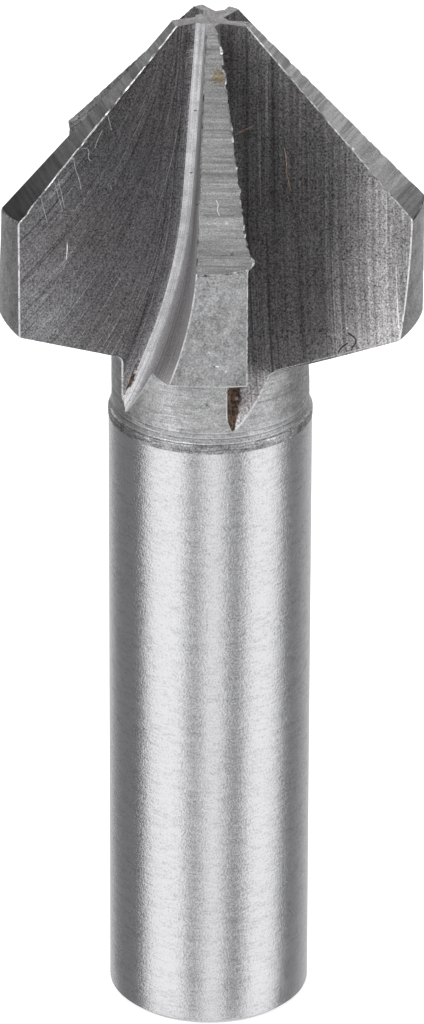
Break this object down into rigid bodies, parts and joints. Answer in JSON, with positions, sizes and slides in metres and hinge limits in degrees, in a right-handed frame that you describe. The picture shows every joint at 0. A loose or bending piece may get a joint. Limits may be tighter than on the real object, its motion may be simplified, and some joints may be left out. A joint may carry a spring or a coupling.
{
  "type": "countersink bit",
  "caption": "Straight-shank countersink bit with a ninety-degree cone and wide straight flutes, for cutting a conical seat for a screw head.",
  "frame": {"origin": "centre of the flat end of the shank", "axes": "+Z along the bit's axis from the shank's end to the tip; the front tooth faces -Y"},
  "size_m": [0.0248, 0.0238, 0.0631],
  "materials": {
    "tool_steel": "ground shank, milled flutes, dull skin on the neck, rust in the flute ends"
  },
  "bodies": {
    "root": {"countersink_bit": "tool_steel"}
  },
  "joints": []
}
